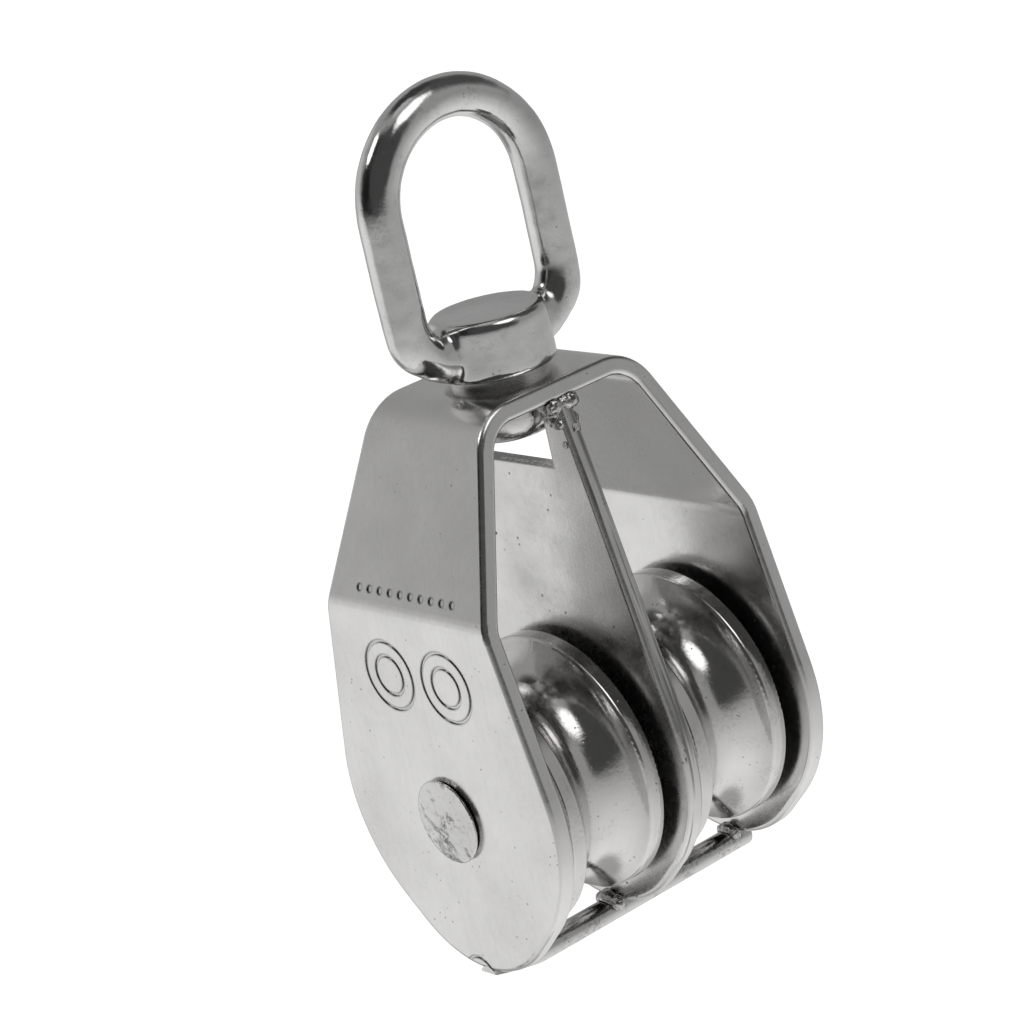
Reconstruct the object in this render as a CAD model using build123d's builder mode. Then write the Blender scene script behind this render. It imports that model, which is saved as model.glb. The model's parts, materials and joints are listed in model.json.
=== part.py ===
from build123d import *
from math import cos, radians, sin, sqrt, tan
import os

# Double sheave block with a swivel eye, nominal size 32.
# X runs across the width of the plates, Y along the axle, Z up.
# The origin is the middle of the round top of the eye, where a hook or a shackle pulls.
# Lengths are millimetres. Names ending in _z are heights from that origin.

os.makedirs("parts", exist_ok=True)

# ---- driving dimensions ----------------------------------------------------
sheave_radius = 16.0          # half of the nominal size
plate = 2.2                   # thickness of the cheek strip and of the middle plate
half_depth = 21.0             # outer face of each cheek, from the middle of the block
axle_below_eye = 68.0         # axle centre below the middle of the eye's round top
top_above_axle = 46.9         # outer face of the frame's top, above the axle
edge_round = 0.6              # tumbled edges of the plates
running_gap = 0.05            # clearance of the pieces that turn
seat_gap = 0.01               # clearance of the pieces that are fixed together

axle_z = -axle_below_eye
top_z = axle_z + top_above_axle
under_top_z = top_z - plate
inner_half_depth = half_depth - plate

# ---- plate outline, seen along the axle ------------------------------------
top_half_width = 10.0
taper_start_z = axle_z + 43.0
shoulder_half_width = 14.7
shoulder_z = axle_z + 25.0
outline_blend = 12.0          # rounding of the two corners of each side
belly_radius = 19.25
belly_z = axle_z + 1.5
tip_radius = 15.1
tip_z = axle_z - 4.3
plate_bottom_z = tip_z - tip_radius

# ---- bent frame, seen across the plates ------------------------------------
cheek_lean = radians(23.6)    # the upper cheeks lean inwards
bend_radius = 6.4             # outside, at the two top bends
crease_radius = 6.0           # outside, at the two shoulder creases

# ---- sheaves, bushes, thrust washers ---------------------------------------
sheave_width = 14.2
groove_half_width = 5.0
groove_radius = 5.2
groove_lip_round = 0.5
rim_round = 0.35
hub_radius = 7.6
web_recess_radius = 10.6
web_recess_depth = 1.2
bush_radius = 5.5
washer_thickness = 1.2
washer_radius = 7.4
washer_bore_gap = 0.1
washer_chamfer = 0.15
sheave_float = 0.45           # both sheaves lie against their rear washers
bay_middle = (plate / 2 + inner_half_depth) / 2
front_sheave_y = -bay_middle + sheave_float
rear_sheave_y = bay_middle + sheave_float

# ---- axle and rope keeper bar ----------------------------------------------
axle_radius = 4.0
axle_head_radius = 5.2
axle_head_height = 0.75
axle_head_undercut = 0.4
axle_head_crown = 0.3
axle_head_round = 0.2
bar_radius = 1.5
bar_z = axle_z - 20.4
bar_rear_round = 0.5
bar_grind_start_y = -12.5     # the bar's front end is ground upwards from here
bar_grind_rise = 2.15         # height lost at the front face
tip_weld_radius = 2.8         # round edge of the ground weld on the front tip
tip_weld_x = -1.3
tip_weld_z = bar_z - 0.2
tip_weld_line = 0.3

# ---- swivel eye, pin and washers -------------------------------------------
eye_wire_radius = 2.6
eye_half_width = 11.4         # to the centre line of the eye's wire
eye_bend_radius = 6.6         # its two lower bends
boss_radius = 7.0
boss_bottom_z = top_z + 0.9
boss_top_z = boss_bottom_z + 7.1
boss_top_round = 1.1
boss_bottom_round = 0.4
eye_foot_z = boss_bottom_z + 2.65
web_foot_z = boss_bottom_z + 4.2
web_bend_radius = 3.2
web_wire_radius = 2.5
eye_washer_thickness = 0.8
eye_washer_radius = 5.8
pin_radius = 3.5
pin_hole_radius = 3.6
pin_end_z = boss_top_z - 1.8
pin_washer_radius = 5.6
pin_washer_thickness = 0.7
pin_head_radius = 6.4
pin_head_height = 4.0
pin_head_round = 2.9

# ---- notch of the middle plate around the pin's head -----------------------
notch_half_width = 7.5
notch_bottom_z = axle_z + 36.5

# ---- stamped marks of the front cheek --------------------------------------
mark_depth = 0.15
mark_line = 0.35
ring_mark_z = axle_z + 17.3
ring_mark_spacing = 10.4
ring_mark_radii = (4.4, 2.6)
dot_count = 10
dot_spacing = 1.9
dot_radius = 0.45
dots_up_slope = 2.6

axle_line = Axis((0, 0, axle_z), (0, 1, 0))


def save(piece, name):
    """Label a finished piece and write its file."""
    piece.part.label = name
    export_step(piece.part, f"parts/{name}.step")


def axle_plane(y=0.0):
    """Plane through the axle: its x runs along the axle, its y away from it."""
    return Plane(origin=(0, y, axle_z), x_dir=(0, 1, 0), z_dir=(1, 0, 0))


# ---- shared outline of the cheeks and the middle plate ----------------------
with BuildSketch(Plane.XZ) as outline:
    with BuildLine():
        Line((-top_half_width, top_z), (top_half_width, top_z))
        Line((-top_half_width, taper_start_z), (top_half_width, taper_start_z))
        Line((-shoulder_half_width, shoulder_z), (shoulder_half_width, shoulder_z))
        CenterArc((0, belly_z), belly_radius, 0, 360)
        CenterArc((0, tip_z), tip_radius, 0, 360)
    make_hull()
    side_corners = outline.vertices().filter_by(
        lambda v: shoulder_z - 1 < v.Y < taper_start_z + 1
    )
    fillet(side_corners, outline_blend)


# ---- frame: one strip bent over the top into two cheeks ---------------------
def strip_corners(inset):
    """Corners of the bent strip's outer line in the YZ plane, moved inwards by inset."""
    half = half_depth - inset
    crease_z = shoulder_z - inset * tan(cheek_lean / 2)
    high_z = top_z - inset
    high_half = half - (high_z - crease_z) * tan(cheek_lean)
    low_z = plate_bottom_z - plate
    return [
        (-half, low_z),
        (-half, crease_z),
        (-high_half, high_z),
        (high_half, high_z),
        (half, crease_z),
        (half, low_z),
    ]


def strip_profile(inset):
    """Filled profile under the strip's outer line, moved inwards by inset."""
    with BuildSketch(Plane.YZ) as profile:
        with BuildLine():
            Polyline(*strip_corners(inset), close=True)
        make_face()
        fillet(profile.vertices().group_by(Axis.Y)[-1], bend_radius - inset)
        creases = profile.vertices().filter_by(lambda v: abs(v.Y - shoulder_z) < plate)
        fillet(creases, crease_radius - inset)
    return profile.sketch


with BuildPart() as frame:
    extrude(strip_profile(0), amount=belly_radius + plate, both=True)
    extrude(strip_profile(plate), amount=belly_radius + plate, both=True, mode=Mode.SUBTRACT)
    extrude(outline.sketch, amount=half_depth + plate, both=True, mode=Mode.INTERSECT)
    rim_edges = frame.edges().filter_by(
        lambda e: abs(e.tangent_at(0.5).X) < 0.99
        and (abs(e.tangent_at(0.5).Y) < 0.99 or e.length > 2 * plate)
    )
    fillet(rim_edges, edge_round)
    with BuildSketch(Plane.XZ):
        with Locations((0, axle_z)):
            Circle(axle_radius + seat_gap)
        with Locations((0, bar_z)):
            Circle(bar_radius + seat_gap)
    extrude(amount=half_depth + plate, both=True, mode=Mode.SUBTRACT)
    with BuildSketch(Plane.XY.offset(under_top_z)):
        Circle(pin_hole_radius)
    extrude(amount=plate, mode=Mode.SUBTRACT)
    # two outlined rings stamped into the lower part of the front cheek
    with BuildSketch(Plane.XZ.offset(half_depth - mark_depth)):
        with Locations((-ring_mark_spacing / 2, ring_mark_z), (ring_mark_spacing / 2, ring_mark_z)):
            for radius in ring_mark_radii:
                Circle(radius)
                Circle(radius - mark_line, mode=Mode.SUBTRACT)
    extrude(amount=2 * mark_depth, mode=Mode.SUBTRACT)
    # a row of small stamped dots just above the crease
    slope_plane = Plane(
        origin=(0, -half_depth, shoulder_z),
        x_dir=(1, 0, 0),
        z_dir=(0, -cos(cheek_lean), sin(cheek_lean)),
    )
    with BuildSketch(slope_plane.offset(-mark_depth)):
        with Locations((0, dots_up_slope)):
            with GridLocations(dot_spacing, 1, dot_count, 1):
                Circle(dot_radius)
    extrude(amount=2 * mark_depth, mode=Mode.SUBTRACT)
    # round edge of the weld that was ground flush with the front tip
    with BuildSketch(Plane.XZ.offset(half_depth - mark_depth)):
        with Locations((tip_weld_x, tip_weld_z)):
            Circle(tip_weld_radius)
            Circle(tip_weld_radius - tip_weld_line, mode=Mode.SUBTRACT)
    extrude(amount=2 * mark_depth, mode=Mode.SUBTRACT)
save(frame, "frame")

# ---- middle plate: flat, between the two sheaves ----------------------------
with BuildPart() as middle_plate:
    extrude(outline.sketch, amount=plate / 2, both=True)
    split(bisect_by=Plane.XY.offset(under_top_z), keep=Keep.BOTTOM)
    face_edges = middle_plate.faces().filter_by(Axis.Y).edges()
    fillet(face_edges.filter_by(lambda e: e.center().Z < under_top_z - 0.01), edge_round)
    with BuildSketch(Plane.XZ):
        with Locations((0, notch_bottom_z)):
            Rectangle(
                2 * notch_half_width,
                top_z - notch_bottom_z,
                align=(Align.CENTER, Align.MIN),
            )
        with Locations((0, axle_z)):
            Circle(axle_radius + seat_gap)
        with Locations((0, bar_z)):
            Circle(bar_radius + seat_gap)
    extrude(amount=plate, both=True, mode=Mode.SUBTRACT)
save(middle_plate, "middle_plate")


# ---- sheaves, bushes and thrust washers -------------------------------------
def build_sheave(y):
    """Grooved wheel with recessed sides, centred at y on the axle."""
    half = sheave_width / 2
    groove_centre = sheave_radius + sqrt(groove_radius**2 - groove_half_width**2)
    recess_x = half - web_recess_depth / 2
    recess_y = (hub_radius + web_recess_radius) / 2
    with BuildPart() as sheave:
        with BuildSketch(axle_plane(y)) as profile:
            with Locations((0, bush_radius)):
                Rectangle(
                    sheave_width,
                    sheave_radius - bush_radius,
                    align=(Align.CENTER, Align.MIN),
                )
            with Locations((0, groove_centre)):
                Circle(groove_radius, mode=Mode.SUBTRACT)
            with Locations((-recess_x, recess_y), (recess_x, recess_y)):
                Rectangle(web_recess_depth, web_recess_radius - hub_radius, mode=Mode.SUBTRACT)
            lips = profile.vertices().group_by(Axis.Y)[-1].sort_by(Axis.X)[1:3]
            fillet(lips, groove_lip_round)
            rims = profile.vertices().group_by(Axis.Y)[-1].sort_by(Axis.X)
            fillet([rims[0], rims[-1]], rim_round)
        revolve(axis=axle_line)
    return sheave


def build_bush(y):
    """Plain bush pressed into a sheave."""
    with BuildPart() as bush:
        with BuildSketch(Plane(origin=(0, y, axle_z), x_dir=(1, 0, 0), z_dir=(0, 1, 0))):
            Circle(bush_radius)
            Circle(axle_radius + running_gap, mode=Mode.SUBTRACT)
        extrude(amount=sheave_width / 2, both=True)
    return bush


def build_thrust_washer(y_low):
    """Washer on the axle, from y_low towards +Y."""
    with BuildPart() as washer:
        with BuildSketch(Plane(origin=(0, y_low, axle_z), x_dir=(1, 0, 0), z_dir=(0, 1, 0))):
            Circle(washer_radius)
            Circle(axle_radius + washer_bore_gap, mode=Mode.SUBTRACT)
        extrude(amount=washer_thickness)
        outer_edges = washer.edges().group_by(SortBy.LENGTH)[-1]
        chamfer(outer_edges, washer_chamfer)
    return washer


for side, sheave_y in (("front", front_sheave_y), ("rear", rear_sheave_y)):
    save(build_sheave(sheave_y), f"{side}_sheave")
    save(build_bush(sheave_y), f"{side}_bush")

washer_places = {
    "front_outer_washer": -inner_half_depth,
    "front_inner_washer": -plate / 2 - washer_thickness,
    "rear_inner_washer": plate / 2,
    "rear_outer_washer": inner_half_depth - washer_thickness,
}
for name, y_low in washer_places.items():
    save(build_thrust_washer(y_low), name)

# ---- axle, riveted over at both ends ----------------------------------------
head_face = half_depth + axle_head_height
with BuildPart() as axle:
    with BuildSketch(axle_plane()):
        with BuildLine():
            Polyline(
                (0, 0),
                (0, axle_radius),
                (half_depth, axle_radius),
                (half_depth, axle_head_radius - axle_head_undercut),
                (head_face - axle_head_height / 3, axle_head_radius),
                (head_face, axle_head_radius),
            )
            crown_radius = (axle_head_radius**2 + axle_head_crown**2) / (2 * axle_head_crown)
            half_way = axle_head_radius / 2
            crown_fall = crown_radius - sqrt(crown_radius**2 - half_way**2)
            ThreePointArc(
                (head_face, axle_head_radius),
                (head_face + axle_head_crown - crown_fall, half_way),
                (head_face + axle_head_crown, 0),
            )
            Line((head_face + axle_head_crown, 0), (0, 0))
        make_face()
    revolve(axis=axle_line)
    mirror(about=Plane.XZ)
    head_rims = axle.edges().filter_by(GeomType.CIRCLE).filter_by(
        lambda e: abs(abs(e.arc_center.Y) - head_face) < 0.001
    )
    fillet(head_rims, axle_head_round)
save(axle, "axle")

# ---- rope keeper bar across the tips of the three plates --------------------
with BuildPart() as crossbar:
    with BuildSketch(Plane.XZ):
        with Locations((0, bar_z)):
            Circle(bar_radius)
    extrude(amount=half_depth, both=True)
    rear_rim = crossbar.edges().filter_by(GeomType.CIRCLE).sort_by(Axis.Y)[-1]
    fillet(rear_rim, bar_rear_round)
    with BuildSketch(Plane.YZ):
        with BuildLine():
            Polyline(
                (bar_grind_start_y, bar_z - bar_radius),
                (-half_depth - plate, bar_z - bar_radius),
                (-half_depth, bar_z - bar_radius + bar_grind_rise),
                close=True,
            )
        make_face()
    extrude(amount=2 * bar_radius, both=True, mode=Mode.SUBTRACT)
save(crossbar, "crossbar")

# ---- swivel eye: oval wire loop and round boss in one forging ---------------
with BuildPart() as swivel_eye:
    with BuildLine(Plane.YZ) as wire_line:
        low = eye_foot_z + eye_bend_radius
        foot_end = eye_half_width - eye_bend_radius
        Line((0, eye_foot_z), (foot_end, eye_foot_z))
        CenterArc((foot_end, low), eye_bend_radius, -90, 90)
        Line((eye_half_width, low), (eye_half_width, 0))
        CenterArc((0, 0), eye_half_width, 0, 180)
        Line((-eye_half_width, 0), (-eye_half_width, low))
        CenterArc((-foot_end, low), eye_bend_radius, 180, 90)
        Line((-foot_end, eye_foot_z), (0, eye_foot_z))
    with BuildSketch(Plane(origin=(0, 0, eye_foot_z), z_dir=(0, 1, 0))):
        Circle(eye_wire_radius)
    sweep(path=wire_line.wire())
    # web that fills the two corners between the wire and the boss
    with BuildLine(Plane.YZ) as web_line:
        web_low = web_foot_z + web_bend_radius
        web_end = eye_half_width - web_bend_radius
        Line((-eye_half_width, web_low + web_bend_radius), (-eye_half_width, web_low))
        CenterArc((-web_end, web_low), web_bend_radius, 180, 90)
        Line((-web_end, web_foot_z), (web_end, web_foot_z))
        CenterArc((web_end, web_low), web_bend_radius, -90, 90)
        Line((eye_half_width, web_low), (eye_half_width, web_low + web_bend_radius))
    web_start = Plane(origin=(0, -eye_half_width, web_low + web_bend_radius), z_dir=(0, 0, -1))
    with BuildSketch(web_start):
        Circle(web_wire_radius)
    sweep(path=web_line.wire())
    with BuildSketch(Plane.XZ) as boss_profile:
        with Locations((0, boss_bottom_z)):
            Rectangle(boss_radius, boss_top_z - boss_bottom_z, align=(Align.MIN, Align.MIN))
        outer_corners = boss_profile.vertices().group_by(Axis.X)[-1].sort_by(Axis.Y)
        fillet(outer_corners[0], boss_bottom_round)
        outer_corners = boss_profile.vertices().group_by(Axis.X)[-1].sort_by(Axis.Y)
        fillet(outer_corners[-1], boss_top_round)
    revolve(axis=Axis.Z)
    with BuildSketch(Plane.XY.offset(boss_bottom_z)):
        Circle(pin_radius)
    extrude(amount=pin_end_z - boss_bottom_z + running_gap, mode=Mode.SUBTRACT)
save(swivel_eye, "swivel_eye")

# ---- swivel pin: shank fixed in the boss, domed head inside the frame -------
pin_washer_top_z = under_top_z - 2 * running_gap
pin_head_top_z = pin_washer_top_z - pin_washer_thickness
with BuildPart() as swivel_pin:
    with BuildSketch(Plane.XY.offset(pin_head_top_z)):
        Circle(pin_head_radius)
    extrude(amount=-pin_head_height)
    fillet(swivel_pin.edges().group_by(Axis.Z)[0], pin_head_round)
    with BuildSketch(Plane.XY.offset(pin_head_top_z)):
        Circle(pin_radius)
    extrude(amount=pin_end_z - pin_head_top_z)
save(swivel_pin, "swivel_pin")


def build_swivel_washer(z_low, outer_radius, thickness):
    """Washer around the swivel pin, from z_low upwards."""
    with BuildPart() as washer:
        with BuildSketch(Plane.XY.offset(z_low)):
            Circle(outer_radius)
            Circle(pin_hole_radius, mode=Mode.SUBTRACT)
        extrude(amount=thickness)
    return washer


save(build_swivel_washer(top_z, eye_washer_radius, eye_washer_thickness), "eye_washer")
save(build_swivel_washer(pin_head_top_z, pin_washer_radius, pin_washer_thickness), "pin_washer")


# ---- welds -------------------------------------------------------------------
weld_turn = (25, 35, 15)      # keeps the lumps' poles away from the plates


def build_weld(lumps, solids):
    """Rough bead: overlapping lumps (x, y, z, radius), trimmed by the solids they join."""
    with BuildPart() as weld:
        for x, y, z, radius in lumps:
            with Locations(Location((x, y, z), weld_turn)):
                Sphere(radius)
        for solid in solids:
            add(solid.part, mode=Mode.SUBTRACT)
    return weld


def side_half_width(z):
    """Half width of the plates between the shoulder and the top."""
    share = max(0.0, (taper_start_z - z) / (taper_start_z - shoulder_z))
    return top_half_width + share * (shoulder_half_width - top_half_width)


def leg_lumps(side):
    """Bead around one leg of the middle plate's notch, under the frame's top."""
    lumps = []
    for face in (-1, 1):
        for step, radius in enumerate((1.0, 1.25, 1.1)):
            x = side * (8.5 + 0.8 * step)
            lumps.append((x, face * (plate / 2 + 0.2), under_top_z - 0.5, radius))
            lumps.append((x, face * (plate / 2 - 0.1), under_top_z - 2.0 - 0.3 * step, radius * 0.8))
    for step, radius in enumerate((1.35, 1.2, 1.3, 1.0)):
        z = under_top_z - 0.6 - 1.5 * step
        x = side * (side_half_width(z) - 0.35)
        y = 0.35 * (-1) ** step
        lumps.append((x, y, z, radius))
    return lumps


for name, side in (("near_top_weld", 1), ("far_top_weld", -1)):
    save(build_weld(leg_lumps(side), (frame, middle_plate)), name)


def bar_lumps(face_y, outwards, size):
    """Bead between the top of the keeper bar and one face of a plate."""
    z = bar_z + bar_radius - 0.2
    y = face_y + outwards * 0.35 * size
    return [
        (-1.0 * size, y, z - 0.2, 0.8 * size),
        (0.1, y + outwards * 0.25 * size, z, 1.0 * size),
        (1.1 * size, y, z - 0.25, 0.85 * size),
    ]


with BuildPart() as weld_space:
    cheek_middle = half_depth - plate / 2
    slab = plate + 2 * seat_gap
    with Locations((0, -cheek_middle, bar_z), (0, 0, bar_z), (0, cheek_middle, bar_z)):
        Box(4 * plate, slab, 4 * plate)
    with BuildSketch(Plane.XZ):
        with Locations((0, bar_z)):
            Circle(bar_radius)
    extrude(amount=half_depth, both=True)

bar_welds = {
    "front_bar_weld": [(-inner_half_depth, 1, 0.9)],
    "middle_bar_weld": [(-plate / 2, -1, 1.3), (plate / 2, 1, 1.0)],
    "rear_bar_weld": [(inner_half_depth, -1, 1.1)],
}
for name, faces in bar_welds.items():
    lumps = [lump for face in faces for lump in bar_lumps(*face)]
    save(build_weld(lumps, [weld_space]), name)
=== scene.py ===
import json
import math

import bmesh
import bpy
from mathutils import Matrix, Vector, noise


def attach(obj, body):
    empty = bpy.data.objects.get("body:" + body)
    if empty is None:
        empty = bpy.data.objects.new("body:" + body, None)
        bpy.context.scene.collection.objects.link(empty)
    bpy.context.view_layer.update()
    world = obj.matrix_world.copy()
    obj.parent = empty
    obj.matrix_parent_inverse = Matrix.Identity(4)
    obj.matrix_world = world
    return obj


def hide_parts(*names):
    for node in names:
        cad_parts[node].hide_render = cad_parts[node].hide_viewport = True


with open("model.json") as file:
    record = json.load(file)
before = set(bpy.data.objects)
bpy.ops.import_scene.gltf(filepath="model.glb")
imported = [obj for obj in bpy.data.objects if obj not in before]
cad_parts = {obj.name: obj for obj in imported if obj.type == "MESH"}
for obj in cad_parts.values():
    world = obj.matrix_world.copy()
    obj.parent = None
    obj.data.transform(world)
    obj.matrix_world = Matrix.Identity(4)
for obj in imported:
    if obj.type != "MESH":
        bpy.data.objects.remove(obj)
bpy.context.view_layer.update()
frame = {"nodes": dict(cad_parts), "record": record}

MM = 0.001
AXLE_Z = -68.0 * MM

# ---------------------------------------------------------------- camera
# Where the view comes from, and how far the axle's centre lies from the picture's middle.
AZIMUTH = math.radians(53.84)
ELEVATION = math.radians(17.60)
ROLL = math.radians(13.03)
DISTANCE = 406.7 * MM
LENS = 121.2
AIM_RIGHT = 8.71 * MM
AIM_DOWN = 27.79 * MM
CLIP_START, CLIP_END = 0.01, 50

back = Vector((
    math.sin(AZIMUTH) * math.cos(ELEVATION),
    -math.cos(AZIMUTH) * math.cos(ELEVATION),
    math.sin(ELEVATION),
))
level = Vector((math.cos(AZIMUTH), math.sin(AZIMUTH), 0))
upright = back.cross(level)
right = level * math.cos(ROLL) - upright * math.sin(ROLL)
up = level * math.sin(ROLL) + upright * math.cos(ROLL)
camera = bpy.data.objects.new("camera", bpy.data.cameras.new("camera"))
bpy.context.scene.collection.objects.link(camera)
camera.data.lens = LENS
camera.data.clip_start = CLIP_START
camera.data.clip_end = CLIP_END
turn = Matrix((right, up, back)).transposed()
place = Vector((0, 0, AXLE_Z)) + back * DISTANCE - right * AIM_RIGHT + up * AIM_DOWN
camera.matrix_world = Matrix.Translation(place) @ turn.to_4x4()
bpy.context.scene.camera = camera
bpy.context.scene.view_settings.view_transform = "Standard"


# ---------------------------------------------------------------- node helpers
class Tree:
    """Short way to build a node tree."""

    def __init__(self, tree):
        self.tree = tree
        tree.nodes.clear()

    def add(self, kind, inputs=None, **settings):
        node = self.tree.nodes.new(kind)
        for key, value in settings.items():
            setattr(node, key, value)
        for key, value in (inputs or {}).items():
            socket = node.inputs[key]
            if isinstance(value, bpy.types.NodeSocket):
                self.tree.links.new(value, socket)
            else:
                socket.default_value = value
        return node

    def math(self, operation, a, b=0.0, clamp=False):
        node = self.add(
            "ShaderNodeMath", {0: a, 1: b}, operation=operation, use_clamp=clamp
        )
        return node.outputs[0]

    def vector(self, operation, a, b):
        """The value of a vector operation."""
        node = self.add("ShaderNodeVectorMath", {0: a, 1: b}, operation=operation)
        return node.outputs["Value"]

    def remap(self, value, low, high, to_low=0.0, to_high=1.0, smooth=False):
        inputs = {
            "Value": value,
            "From Min": low,
            "From Max": high,
            "To Min": to_low,
            "To Max": to_high,
        }
        ramp = "SMOOTHSTEP" if smooth else "LINEAR"
        node = self.add("ShaderNodeMapRange", inputs, interpolation_type=ramp)
        return node.outputs["Result"]

    def mix(self, factor, a, b):
        """Mixes two colours or colour sockets."""
        node = self.add("ShaderNodeMix", data_type="RGBA")
        for socket, value in ((node.inputs[0], factor), (node.inputs[6], a), (node.inputs[7], b)):
            if isinstance(value, bpy.types.NodeSocket):
                self.tree.links.new(value, socket)
            elif isinstance(value, (int, float)):
                socket.default_value = value
            else:
                socket.default_value = (*value, 1)
        return node.outputs[2]

    def noise(self, vector, scale, detail=2.0, roughness=0.5):
        inputs = {"Vector": vector, "Scale": scale, "Detail": detail, "Roughness": roughness}
        return self.add("ShaderNodeTexNoise", inputs).outputs["Fac"]

    def stretch(self, vector, scale):
        return self.add("ShaderNodeMapping", {"Vector": vector, "Scale": scale}).outputs[0]


# ---------------------------------------------------------------- studio
# Soft patches of the studio: azimuth, elevation, inner and outer radius in degrees, brightness.
STUDIO_BASE = 0.36
STUDIO = (
    (-78, 4, 12, 34, 0.62),
    (10, 15, 42, 60, 0.04),
    (-12, 20, 8, 24, 0.015),
    (50, 30, 28, 44, 0.07),
    (80, 12, 20, 38, 0.07),
    (170, 45, 14, 36, 0.08),
    (-125, 66, 12, 28, 0.05),
    (102, 55, 6, 22, 1.9),
    (-36, 47, 6, 12, 3.2),
    (0, 90, 4, 13, 0.5),
)
LOW_STUDIO = (
    (-52, -25, 14, 35, 0.92),
    (-78, -40, 8, 22, 0.34),
    (-92, -64, 10, 24, 0.46),
)
# The studio's lower half brightens from far to near; heights are those of a unit direction.
GROUND_NEAR, GROUND_FAR = 1.0, 0.47
GROUND_NEAR_HEIGHT, GROUND_FAR_HEIGHT = -0.95, -0.2
HORIZON_TOP, HORIZON_BOTTOM = 0.05, -0.25


def heading(azimuth, elevation):
    """Unit vector towards an azimuth from -Y round to +X, and an elevation."""
    a, e = math.radians(azimuth), math.radians(elevation)
    return Vector((math.sin(a) * math.cos(e), -math.cos(a) * math.cos(e), math.sin(e)))


def add_patch(t, direction, below, patch):
    """Lays one soft round patch over the glow below it."""
    azimuth, elevation, inner, outer, value = patch
    towards = t.vector("DOT_PRODUCT", direction, tuple(heading(azimuth, elevation)))
    edge, core = math.cos(math.radians(outer)), math.cos(math.radians(inner))
    return t.mix(t.remap(towards, edge, core, smooth=True), below, (value,) * 3)


def build_studio():
    world = bpy.data.worlds.new("studio")
    bpy.context.scene.world = world
    world.use_nodes = True
    t = Tree(world.node_tree)
    direction = t.add("ShaderNodeTexCoord").outputs["Generated"]
    glow = (STUDIO_BASE,) * 3
    for patch in STUDIO:
        glow = add_patch(t, direction, glow, patch)
    height = t.add("ShaderNodeSeparateXYZ", {0: direction}).outputs["Z"]
    ground = t.remap(height, GROUND_FAR_HEIGHT, GROUND_NEAR_HEIGHT, GROUND_FAR, GROUND_NEAR)
    glow = t.mix(t.remap(height, HORIZON_TOP, HORIZON_BOTTOM, smooth=True), glow, ground)
    for patch in LOW_STUDIO:
        glow = add_patch(t, direction, glow, patch)
    white = {"Color": (1, 1, 1, 1), "Strength": 1.0}
    plain = t.add("ShaderNodeBackground", white).outputs[0]
    patches = t.add("ShaderNodeBackground", {"Color": glow, "Strength": 1.0}).outputs[0]
    seen = t.add("ShaderNodeLightPath").outputs["Is Camera Ray"]
    sky = t.add("ShaderNodeMixShader", {0: seen, 1: patches, 2: plain}).outputs[0]
    t.add("ShaderNodeOutputWorld", {"Surface": sky})


# The floor lies far below the hanging block and only shows to the camera.
# What a floor would reflect into the steel is in the studio's lower half.
FLOOR_Z = -0.6
FLOOR_HALF = 8.0
FLOOR_TONE = 0.85
FLOOR_LIFT = 0.8


def build_floor():
    mesh = bpy.data.meshes.new("floor")
    around = ((-1, -1), (1, -1), (1, 1), (-1, 1))
    corners = [(x * FLOOR_HALF, y * FLOOR_HALF, FLOOR_Z) for x, y in around]
    mesh.from_pydata(corners, [], [(0, 1, 2, 3)])
    floor = bpy.data.objects.new("floor", mesh)
    bpy.context.scene.collection.objects.link(floor)
    floor.visible_glossy = False
    floor.visible_diffuse = False
    floor.visible_shadow = False
    look = bpy.data.materials.new("floor")
    look.use_nodes = True
    t = Tree(look.node_tree)
    matt = t.add("ShaderNodeBsdfDiffuse", {"Color": (FLOOR_TONE,) * 3 + (1,)}).outputs[0]
    light = {"Color": (1, 1, 1, 1), "Strength": FLOOR_LIFT}
    lift = t.add("ShaderNodeEmission", light).outputs[0]
    both = t.add("ShaderNodeAddShader", {0: matt, 1: lift}).outputs[0]
    t.add("ShaderNodeOutputMaterial", {"Surface": both})
    mesh.materials.append(look)


build_studio()
build_floor()

# ---------------------------------------------------------------- steel
BUMP_STRENGTH = 0.35
BUMP_DISTANCE = 0.4 * MM
EDGE_MASK_RADIUS = 0.35 * MM
PIT_TONE = (0.06, 0.055, 0.05)
# Dark tone for random mottling and cut streaks, and painted shade on plate cut faces that look up.
DARK_MOTTLE_AND_PAINTED_SHADE_TONE = (0.13, 0.128, 0.124)
GRAIN_SCALE = 2600
GRAIN_TINT = 0.18
GRAIN_SHADE = 0.8
WORN_POLISH = -0.06
PIT_DEPTH = 0.25
DARK_MARK_DEPTH = 0.15


def pit_mask(t, where, scale, amount):
    """Sparse small dots, in patches."""
    cells = t.add("ShaderNodeTexVoronoi", {"Vector": where, "Scale": scale}, feature="F1")
    chance = t.remap(t.noise(where, 260, 1), 0.52, 0.66)
    dot = t.remap(cells.outputs["Distance"], 0.16, 0.05, smooth=True)
    dot = t.math("MULTIPLY", dot, chance, clamp=True)
    return t.math("MULTIPLY", dot, amount, clamp=True)


def dark_mottle_mask(t, where, scale, amount):
    """Dark mottling at random, in patches."""
    mottle = t.remap(t.noise(where, scale, 3, 0.65), 0.47, 0.6)
    patch = t.remap(t.noise(where, 300, 1), 0.5, 0.62)
    return t.math("MULTIPLY", t.math("MULTIPLY", mottle, patch, clamp=True), amount, clamp=True)


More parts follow.
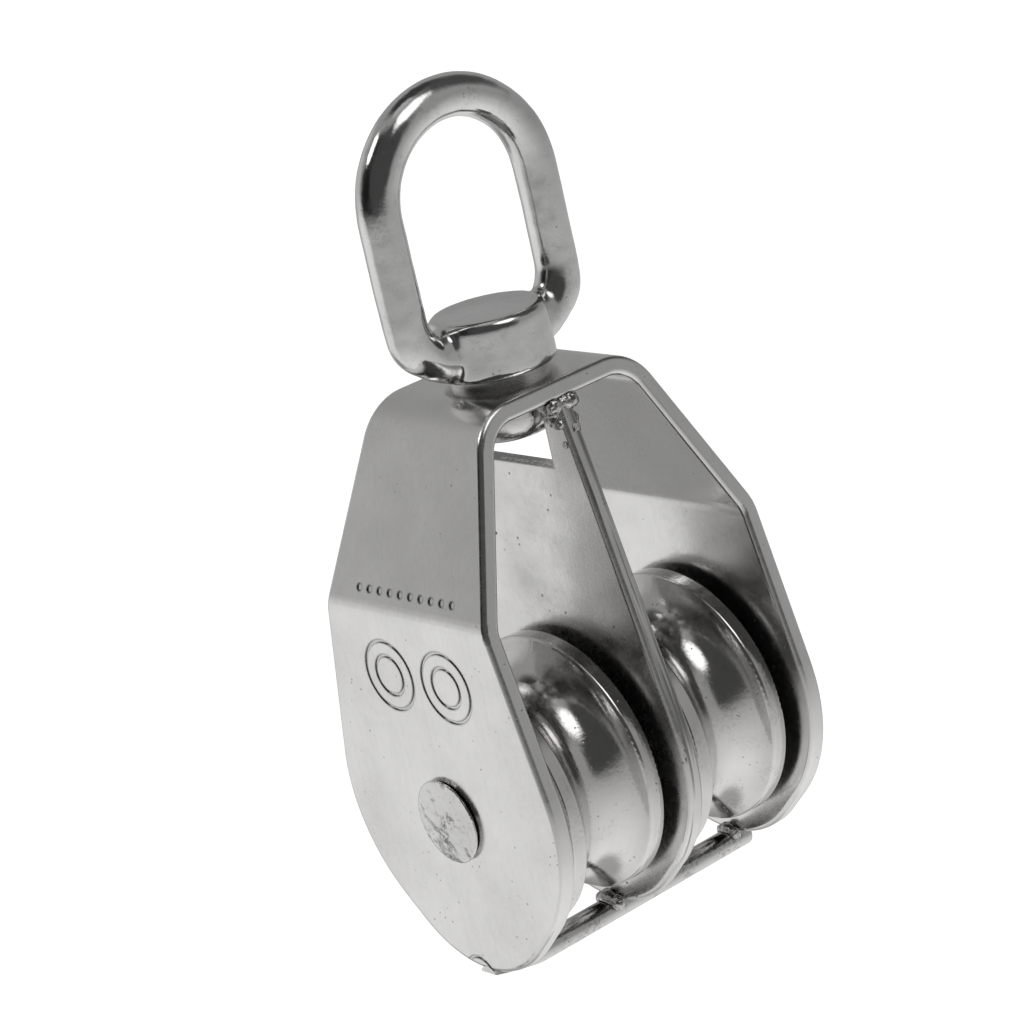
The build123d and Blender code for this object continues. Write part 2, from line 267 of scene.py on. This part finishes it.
def cut_streak_and_upface_shade_mask(t, where, normal, amount):
    """A flat plate's sheared edges: streaks along them, and mottling painted as shade where they
    look up.
    """
    faces = t.add("ShaderNodeSeparateXYZ", {0: normal})
    streak = t.remap(t.noise(t.stretch(where, (60, 1300, 45)), 1.0, 2), 0.47, 0.6)
    sheared = t.remap(t.math("ABSOLUTE", faces.outputs[1]), 0.5, 0.2, 0, amount)
    streak = t.math("MULTIPLY", streak, sheared, clamp=True)
    mottle = t.remap(t.noise(where, 2400, 2), 0.36, 0.52)
    # Painted shade: cut faces that look up get dark mottling.
    upwards = t.remap(faces.outputs[2], 0.7, 0.95, 0, amount)
    return t.math("MAXIMUM", streak, t.math("MULTIPLY", mottle, upwards, clamp=True))


def edge_wear_and_shade_mask(t, amount):
    """Edges: where a small bevel would turn the normal. The mask carries a wear tint on most parts
    and painted shade lines on the frame and plates.
    """
    bevel = t.add("ShaderNodeBevel", {"Radius": EDGE_MASK_RADIUS}, samples=4).outputs[0]
    flat = t.add("ShaderNodeNewGeometry").outputs["Normal"]
    bend = t.vector("DOT_PRODUCT", bevel, flat)
    return t.math("MULTIPLY", t.remap(bend, 0.995, 0.9), amount, clamp=True)


def steel(
    name,
    colour=(0.66, 0.656, 0.648),
    stain=(0.56, 0.555, 0.545),
    rough=0.2,
    rough_spread=0.1,
    grain=(1, 1, 1),
    grain_depth=0.02,
    wave_depth=0.0,
    wave_scale=250,
    pits=0.0,
    pit_scale=900,
    peel=0.0,
    edge=0.5,
    edge_tone=(0.86, 0.85, 0.83),
    dark_mottling=0.0,
    dark_mottling_scale=900,
    cut_streaks_and_upface_shade=0.0,
):
    """Tumbled steel: cloudy tone, brushed grain, pits, random dark mottling, edges lightened by
    wear (dark painted shade lines on the frame and plates), cut streaks with painted shade on cut
    faces that look up.
    """
    material = bpy.data.materials.new(name)
    material.use_nodes = True
    t = Tree(material.node_tree)
    local = t.add("ShaderNodeTexCoord")
    where = local.outputs["Object"]
    cloud = t.noise(where, 90, 3, 0.55)
    fine = t.noise(where, 1400, 3, 0.6)
    brushed = t.noise(t.stretch(where, tuple(GRAIN_SCALE * g for g in grain)), 1.0, 3, 0.65)
    speck = t.noise(where, 3200, 1, 0.5)
    wave = t.noise(where, wave_scale, 2)
    skin = t.noise(where, 2100, 2, 0.6)
    dot = pit_mask(t, where, pit_scale, pits)
    dark = dark_mottle_mask(t, where, dark_mottling_scale, dark_mottling)
    dark = t.math("MAXIMUM", dark, cut_streak_and_upface_shade_mask(t, where, local.outputs["Normal"], cut_streaks_and_upface_shade))
    edge_wear_and_shade = edge_wear_and_shade_mask(t, edge)

    tone = t.mix(t.remap(cloud, 0.35, 0.7), colour, stain)
    shade = tuple(c * GRAIN_SHADE for c in stain)
    tone = t.mix(t.remap(brushed, 0.45, 0.8, 0, GRAIN_TINT), tone, shade)
    # Edge tint: lighter from wear on most parts; on the frame and plates a dark edge tone paints
    # shade lines along the edges.
    tone = t.mix(edge_wear_and_shade, tone, edge_tone)
    tone = t.mix(dot, tone, PIT_TONE)
    # Dark mottling and cut streaks, with painted shade on plate cut faces that look up.
    tone = t.mix(dark, tone, DARK_MOTTLE_AND_PAINTED_SHADE_TONE)

    haze = t.remap(cloud, 0.3, 0.75, rough - rough_spread / 2, rough + rough_spread / 2)
    haze = t.math("ADD", haze, t.remap(fine, 0.4, 0.7, -0.02, 0.05))
    haze = t.math("ADD", haze, t.math("MULTIPLY", edge_wear_and_shade, WORN_POLISH), clamp=True)

    height = t.math("MULTIPLY", brushed, grain_depth)
    height = t.math("ADD", height, t.math("MULTIPLY", speck, grain_depth * 0.4))
    height = t.math("ADD", height, t.math("MULTIPLY", wave, wave_depth))
    height = t.math("ADD", height, t.math("MULTIPLY", skin, peel * 0.5))
    height = t.math("SUBTRACT", height, t.math("MULTIPLY", dot, PIT_DEPTH))
    height = t.math("SUBTRACT", height, t.math("MULTIPLY", dark, DARK_MARK_DEPTH))
    relief = {"Height": height, "Strength": BUMP_STRENGTH, "Distance": BUMP_DISTANCE}
    bump = t.add("ShaderNodeBump", relief).outputs[0]
    surface = {"Base Color": tone, "Metallic": 1.0, "Roughness": haze, "Normal": bump}
    shader = t.add("ShaderNodeBsdfPrincipled", surface).outputs[0]
    t.add("ShaderNodeOutputMaterial", {"Surface": shader})
    return material


LENGTHWISE = (1, 1, 0.06)
TURNED = (0.03, 1, 0.03)
LOOKS = {
    # Frame: its dark edge tone paints shade lines along the edges.
    "frame_steel": steel(
        "frame_steel", (0.735, 0.73, 0.72), (0.67, 0.665, 0.655), rough=0.22,
        grain=LENGTHWISE, grain_depth=0.014, pits=0.5, peel=0.06,
        edge=0.95, edge_tone=(0.1, 0.099, 0.097),
    ),
    # Plates: the dark edge tone paints shade lines along the edges, and the cut lines paint shade
    # on cut faces that look up.
    "plate_steel": steel(
        "plate_steel", (0.7, 0.695, 0.685), (0.57, 0.565, 0.555), rough=0.25,
        grain=LENGTHWISE, pits=1.0, pit_scale=620, peel=0.12, cut_streaks_and_upface_shade=0.8,
        edge=0.8, edge_tone=(0.16, 0.158, 0.155),
    ),
    "axle_steel": steel(
        "axle_steel", rough=0.16, wave_depth=0.6, wave_scale=1100, pits=0.8, pit_scale=1200,
        peel=0.15, dark_mottling=0.9, dark_mottling_scale=1500,
    ),
    "bar_steel": steel(
        "bar_steel", rough=0.17, wave_depth=0.2, wave_scale=500, pits=0.6, peel=0.2,
        dark_mottling=0.4, dark_mottling_scale=1500,
    ),
    "eye_steel": steel(
        "eye_steel", (0.72, 0.716, 0.71), (0.6, 0.596, 0.59), rough=0.11, rough_spread=0.06,
        wave_depth=0.12, wave_scale=420, pits=0.4, peel=0.08, dark_mottling=0.12, dark_mottling_scale=1500,
    ),
    "pin_steel": steel(
        "pin_steel", (0.68, 0.675, 0.665), wave_depth=0.3, wave_scale=500, pits=0.6
    ),
    "washer_steel": steel("washer_steel", (0.74, 0.73, 0.72), (0.62, 0.61, 0.6), rough=0.3),
    "sheave_steel": steel(
        "sheave_steel", (0.7, 0.69, 0.678), (0.6, 0.59, 0.578), rough=0.12, rough_spread=0.08,
        grain=TURNED, grain_depth=0.05, wave_depth=0.1, wave_scale=600, pits=0.8,
        pit_scale=1100, peel=0.14, dark_mottling=0.14, dark_mottling_scale=2600,
    ),
    "bush_brass": steel("bush_brass", (0.7, 0.52, 0.28), (0.5, 0.36, 0.18), rough=0.32),
    "weld_metal": steel(
        "weld_metal", (0.6, 0.59, 0.57), (0.3, 0.29, 0.28), wave_depth=0.6, wave_scale=1500,
        pits=1.0, peel=0.4, dark_mottling=0.7, dark_mottling_scale=1500,
    ),
}
slot_of = {entry["node"]: entry["material_slot"] for entry in frame["record"]["subparts"]}
body_of = {
    node: body for body, nodes in frame["record"]["behaviour"]["bodies"].items() for node in nodes
}
for name, node in frame["nodes"].items():
    node.data.materials.clear()
    node.data.materials.append(LOOKS[slot_of[name]])

# ---------------------------------------------------------------- forged and welded pieces
MERGE_DISTANCE = 0.002 * MM
SMOOTH_FACTOR = 0.5


def evaluated_mesh(thing):
    """The object's mesh with its modifiers applied."""
    bpy.context.view_layer.update()
    graph = bpy.context.evaluated_depsgraph_get()
    return bpy.data.meshes.new_from_object(thing.evaluated_get(graph), depsgraph=graph)


def reshape(node_name, piece_name, voxel, smoothing, dent):
    """A new piece in a CAD node's place: melted together, smoothed and dented inwards."""
    mesh = frame["nodes"][node_name].data.copy()
    form = bmesh.new()
    form.from_mesh(mesh)
    bmesh.ops.remove_doubles(form, verts=form.verts, dist=MERGE_DISTANCE)
    form.to_mesh(mesh)
    form.free()
    thing = bpy.data.objects.new(piece_name, mesh)
    bpy.context.scene.collection.objects.link(thing)
    remesh = thing.modifiers.new("melt", "REMESH")
    remesh.mode = "VOXEL"
    remesh.voxel_size = voxel * MM
    smooth = thing.modifiers.new("smooth", "SMOOTH")
    smooth.factor = SMOOTH_FACTOR
    smooth.iterations = smoothing
    final = evaluated_mesh(thing)
    thing.modifiers.clear()
    thing.data = final
    final.name = piece_name
    normals = [v.normal.copy() for v in final.vertices]
    for vertex, normal in zip(final.vertices, normals):
        vertex.co -= normal * dent(vertex.co, normal) * MM
    for polygon in final.polygons:
        polygon.use_smooth = True
    final.materials.clear()
    final.materials.append(LOOKS[slot_of[node_name]])
    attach(thing, body_of[node_name])
    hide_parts(node_name)


def lumps(point, size, seed):
    """Smooth noise from 0 to 1 with features of about size millimetres."""
    value = noise.noise(point / (size * MM) + Vector((seed, 2 * seed, 3 * seed)))
    return min(1.0, max(0.0, 0.5 + 0.7 * value))


# Depths of the dents in millimetres: each a coarse and a fine part.
def weld_dent(point, normal):
    return 0.15 * lumps(point, 0.9, 3) + 0.12 * lumps(point, 0.4, 7)


def eye_dent(point, normal):
    return 0.1 * lumps(point, 5.0, 11) + 0.035 * lumps(point, 1.6, 13)


def axle_dent(point, normal):
    """Hammer marks on the two heads only."""
    facing = abs(normal.y) ** 2
    return 0.02 + facing * (0.16 * lumps(point, 1.7, 17) + 0.06 * lumps(point, 0.7, 19))


for weld in ("near_top_weld", "far_top_weld", "front_bar_weld", "middle_bar_weld", "rear_bar_weld"):
    reshape(weld, weld + "_bead", 0.13, 3, weld_dent)
reshape("swivel_eye", "forged_eye", 0.3, 8, eye_dent)
reshape("axle", "riveted_axle", 0.18, 2, axle_dent)
